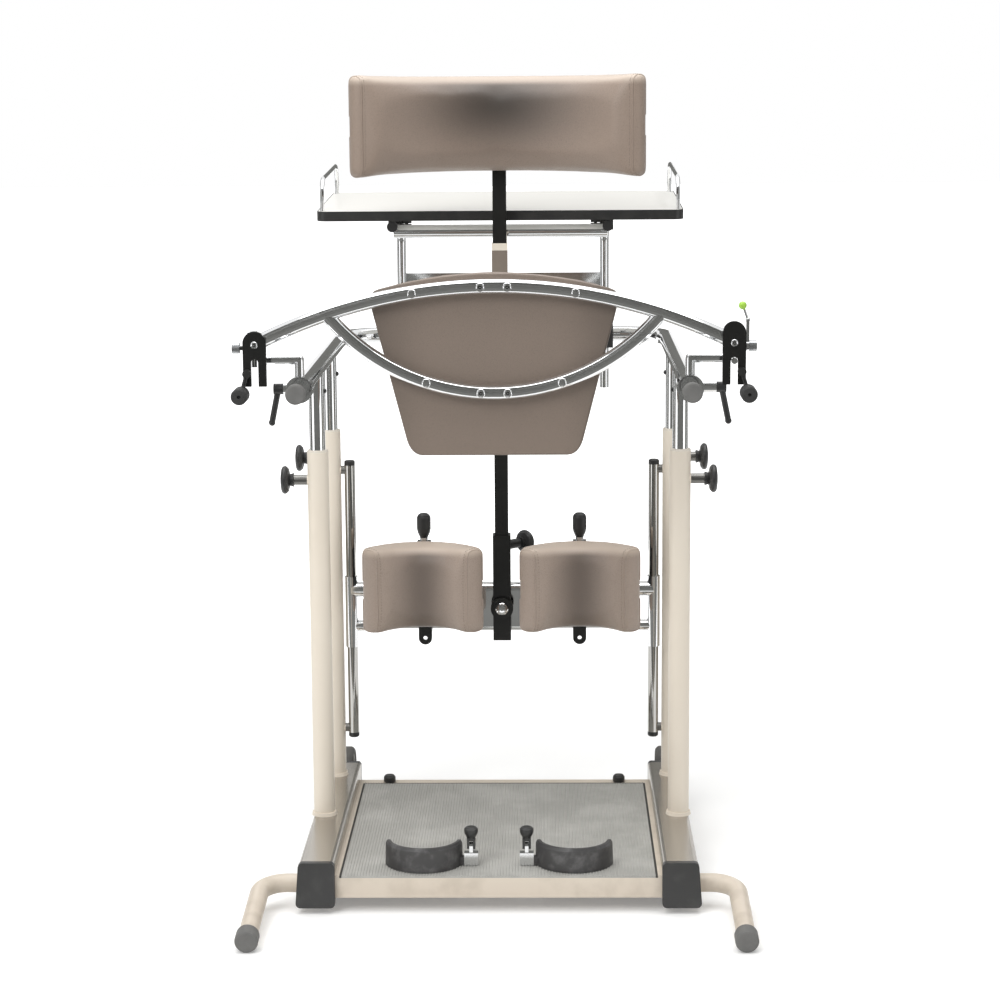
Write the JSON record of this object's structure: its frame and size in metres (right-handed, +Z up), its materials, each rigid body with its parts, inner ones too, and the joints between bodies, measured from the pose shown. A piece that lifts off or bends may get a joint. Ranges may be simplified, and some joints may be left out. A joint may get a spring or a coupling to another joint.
{
  "type": "standing frame",
  "caption": "Standing frame for a person who needs support: ribbed footplate, telescoping columns, U handrail, knee pads, chest pad on a mast, padded hip gate and a tray.",
  "frame": {"origin": "on the floor under the middle of the whole frame", "axes": "+Z up, +Y the way the person faces (towards the tray), +X at the person's right hand"},
  "size_m": [0.855, 1.131, 1.4145],
  "materials": {
    "silver_rail": "satin",
    "black_plastic": "satin",
    "black_paint": "satin",
    "cream_paint": "satin",
    "ribbed_rubber": "matte",
    "grey_rubber": "matte",
    "tyre": "matte",
    "heel_plastic": "satin",
    "chrome": "polished",
    "white_board": "satin",
    "pad_board": "satin",
    "leatherette": "satin",
    "green_plastic": "gloss"
  },
  "bodies": {
    "base": {"side_rails": "silver_rail", "rail_end_caps": "black_plastic", "foot_pan": "cream_paint", "foot_mat": "ribbed_rubber", "stabiliser_legs": "cream_paint", "leg_tips": "grey_rubber", "columns": "cream_paint", "column_bushes": "grey_rubber", "guide_rods": "chrome", "wheel_forks": "silver_rail"},
    "upper_frame": {"handrail": "chrome", "handrail_caps": "grey_rubber", "tray_leg_clamps": "black_plastic"},
    "tray_frame": {"tray_legs": "chrome", "mast_guide": "cream_paint"},
    "tray": {"tray_board": "white_board", "tray_edge": "black_plastic", "tray_guards": "chrome", "tray_runners": "black_plastic"},
    "knee_frame": {"knee_bars": "chrome", "knee_brackets": "silver_rail", "mast_sleeve": "black_paint"},
    "chest_mast": {"mast": "black_paint", "chest_board": "black_plastic", "chest_pad": "leatherette"},
    "gate": {"gate_bars": "chrome", "gate_bolts": "chrome", "gate_board": "pad_board", "gate_pad": "leatherette", "gate_plates": "black_paint"},
    "gate_carriage_left": {"gate_carriage_left": "chrome"},
    "gate_carriage_right": {"gate_carriage_right": "chrome"},
    "wheel_left": {"wheel_left": "tyre"},
    "levelling_foot_left": {"levelling_foot_left": "black_plastic"},
    "heel_cup_left": {"heel_cup_left": "heel_plastic"},
    "heel_lever_left": {"heel_lever_left": "black_plastic"},
    "column_knob_near_left": {"column_knob_near_left": "black_plastic"},
    "column_knob_far_left": {"column_knob_far_left": "black_plastic"},
    "tray_clamp_knob_left": {"tray_clamp_knob_left": "black_plastic"},
    "tray_knob_left": {"tray_knob_left": "black_plastic"},
    "knee_carrier_left": {"knee_carrier_left": "black_paint", "knee_pad_left": "leatherette"},
    "knee_pin_left": {"knee_pin_left": "black_plastic"},
    "rail_clamp_left": {"rail_clamp_left": "black_plastic"},
    "grip_lever_left": {"grip_lever_left": "grey_rubber"},
    "wheel_right": {"wheel_right": "tyre"},
    "levelling_foot_right": {"levelling_foot_right": "black_plastic"},
    "heel_cup_right": {"heel_cup_right": "heel_plastic"},
    "heel_lever_right": {"heel_lever_right": "black_plastic"},
    "column_knob_near_right": {"column_knob_near_right": "black_plastic"},
    "column_knob_far_right": {"column_knob_far_right": "black_plastic"},
    "tray_clamp_knob_right": {"tray_clamp_knob_right": "black_plastic"},
    "tray_knob_right": {"tray_knob_right": "black_plastic"},
    "knee_carrier_right": {"knee_carrier_right": "black_paint", "knee_pad_right": "leatherette"},
    "knee_pin_right": {"knee_pin_right": "black_plastic"},
    "rail_clamp_right": {"rail_clamp_right": "black_plastic"},
    "grip_lever_right": {"grip_lever_right": "grey_rubber"},
    "mast_knob": {"mast_knob": "black_plastic"},
    "latch_lever": {"latch_lever": "green_plastic"}
  },
  "joints": [
    {"name": "frame_lift", "type": "slide", "parent": "base", "child": "upper_frame", "axis": [0, 0, 1], "range_m": [-0.1, 0.15]},
    {"name": "tray_lift", "type": "slide", "parent": "upper_frame", "child": "tray_frame", "axis": [0, 0, 1], "range_m": [-0.05, 0.1]},
    {"name": "tray_slide", "type": "slide", "parent": "tray_frame", "child": "tray", "axis": [0, 1, 0], "range_m": [-0.012, 0.095]},
    {"name": "knee_lift", "type": "slide", "parent": "base", "child": "knee_frame", "axis": [0, 0, 1], "range_m": [-0.14, 0.16]},
    {"name": "mast_lift", "type": "slide", "parent": "knee_frame", "child": "chest_mast", "axis": [0, 0, 1], "range_m": [-0.1, 0.14]},
    {"name": "gate_depth", "type": "slide", "parent": "upper_frame", "child": "gate_carriage_left", "axis": [0, 1, 0], "range_m": [-0.035, 0.15]},
    {"name": "gate_depth_right", "type": "slide", "parent": "upper_frame", "child": "gate_carriage_right", "axis": [0, 1, 0], "range_m": [-0.035, 0.15]},
    {"name": "gate_swing", "type": "hinge", "parent": "gate_carriage_left", "child": "gate", "pos_m": [-0.395, -0.36576, 0.985], "axis": [0, 0, -1], "range_deg": [0, 90]},
    {"name": "wheel_spin_left", "type": "hinge", "parent": "base", "child": "wheel_left", "pos_m": [-0.31, 0.33074, 0.052], "axis": [1, 0, 0], "continuous": true},
    {"name": "levelling_turn_left", "type": "hinge", "parent": "base", "child": "levelling_foot_left", "pos_m": [-0.222, 0.22324, 0.04], "axis": [0, 0, 1], "continuous": true},
    {"name": "heel_slide_left", "type": "slide", "parent": "base", "child": "heel_cup_left", "axis": [0, 1, 0], "range_m": [0, 0.15]},
    {"name": "heel_clamp_left", "type": "hinge", "parent": "heel_cup_left", "child": "heel_lever_left", "pos_m": [-0.048, -0.29626, 0.099], "axis": [-1, 0, 0], "range_deg": [0, 80]},
    {"name": "column_clamp_near_left", "type": "hinge", "parent": "base", "child": "column_knob_near_left", "pos_m": [-0.3643, -0.07926, 0.705], "axis": [1, 0, 0], "continuous": true},
    {"name": "column_clamp_far_left", "type": "hinge", "parent": "base", "child": "column_knob_far_left", "pos_m": [-0.3643, 0.18074, 0.705], "axis": [1, 0, 0], "continuous": true},
    {"name": "tray_leg_clamp_left", "type": "hinge", "parent": "upper_frame", "child": "tray_clamp_knob_left", "pos_m": [-0.1827, 0.47774, 0.903], "axis": [1, 0, 0], "continuous": true},
    {"name": "tray_clamp_left", "type": "hinge", "parent": "tray", "child": "tray_knob_left", "pos_m": [-0.179, 0.29824, 1.12], "axis": [0, 0, 1], "continuous": true},
    {"name": "knee_width_left", "type": "slide", "parent": "knee_frame", "child": "knee_carrier_left", "axis": [-1, 0, 0], "range_m": [-0.025, 0.045]},
    {"name": "knee_pin_pull_left", "type": "slide", "parent": "knee_carrier_left", "child": "knee_pin_left", "axis": [0, 0, 1], "range_m": [0, 0.012]},
    {"name": "rail_clamp_turn_left", "type": "hinge", "parent": "gate_carriage_left", "child": "rail_clamp_left", "pos_m": [-0.3483, -0.36576, 0.903], "axis": [1, 0, 0], "range_deg": [-90, 90]},
    {"name": "grip_lever_turn_left", "type": "hinge", "parent": "gate", "child": "grip_lever_left", "pos_m": [-0.402, -0.40976, 0.934], "axis": [0, -1, 0], "range_deg": [-20, 30]},
    {"name": "wheel_spin_right", "type": "hinge", "parent": "base", "child": "wheel_right", "pos_m": [0.31, 0.33074, 0.052], "axis": [1, 0, 0], "continuous": true},
    {"name": "levelling_turn_right", "type": "hinge", "parent": "base", "child": "levelling_foot_right", "pos_m": [0.222, 0.22324, 0.04], "axis": [0, 0, 1], "continuous": true},
    {"name": "heel_slide_right", "type": "slide", "parent": "base", "child": "heel_cup_right", "axis": [0, 1, 0], "range_m": [0, 0.15]},
    {"name": "heel_clamp_right", "type": "hinge", "parent": "heel_cup_right", "child": "heel_lever_right", "pos_m": [0.048, -0.29626, 0.099], "axis": [-1, 0, 0], "range_deg": [0, 80]},
    {"name": "column_clamp_near_right", "type": "hinge", "parent": "base", "child": "column_knob_near_right", "pos_m": [0.3643, -0.07926, 0.705], "axis": [1, 0, 0], "continuous": true},
    {"name": "column_clamp_far_right", "type": "hinge", "parent": "base", "child": "column_knob_far_right", "pos_m": [0.3643, 0.18074, 0.705], "axis": [1, 0, 0], "continuous": true},
    {"name": "tray_leg_clamp_right", "type": "hinge", "parent": "upper_frame", "child": "tray_clamp_knob_right", "pos_m": [0.1827, 0.47774, 0.903], "axis": [1, 0, 0], "continuous": true},
    {"name": "tray_clamp_right", "type": "hinge", "parent": "tray", "child": "tray_knob_right", "pos_m": [0.179, 0.29824, 1.12], "axis": [0, 0, 1], "continuous": true},
    {"name": "knee_width_right", "type": "slide", "parent": "knee_frame", "child": "knee_carrier_right", "axis": [1, 0, 0], "range_m": [-0.025, 0.045]},
    {"name": "knee_pin_pull_right", "type": "slide", "parent": "knee_carrier_right", "child": "knee_pin_right", "axis": [0, 0, 1], "range_m": [0, 0.012]},
    {"name": "rail_clamp_turn_right", "type": "hinge", "parent": "gate_carriage_right", "child": "rail_clamp_right", "pos_m": [0.3643, -0.36576, 0.903], "axis": [1, 0, 0], "range_deg": [-90, 90]},
    {"name": "grip_lever_turn_right", "type": "hinge", "parent": "gate", "child": "grip_lever_right", "pos_m": [0.402, -0.40976, 0.934], "axis": [0, 1, 0], "range_deg": [-20, 30]},
    {"name": "mast_clamp", "type": "hinge", "parent": "knee_frame", "child": "mast_knob", "pos_m": [0.03227, 0.18251, 0.541], "axis": [0.7071, 0.7071, 0], "continuous": true},
    {"name": "latch_turn", "type": "hinge", "parent": "gate", "child": "latch_lever", "pos_m": [0.41155, -0.40576, 0.975], "axis": [1, 0, 0], "range_deg": [0, 35], "stiffness_Nm_per_rad": 0.05, "springref_deg": -11.46}
  ],
  "couplings": [
    {"joint": "gate_depth_right", "follows": "gate_depth", "ratio": 1}
  ]
}
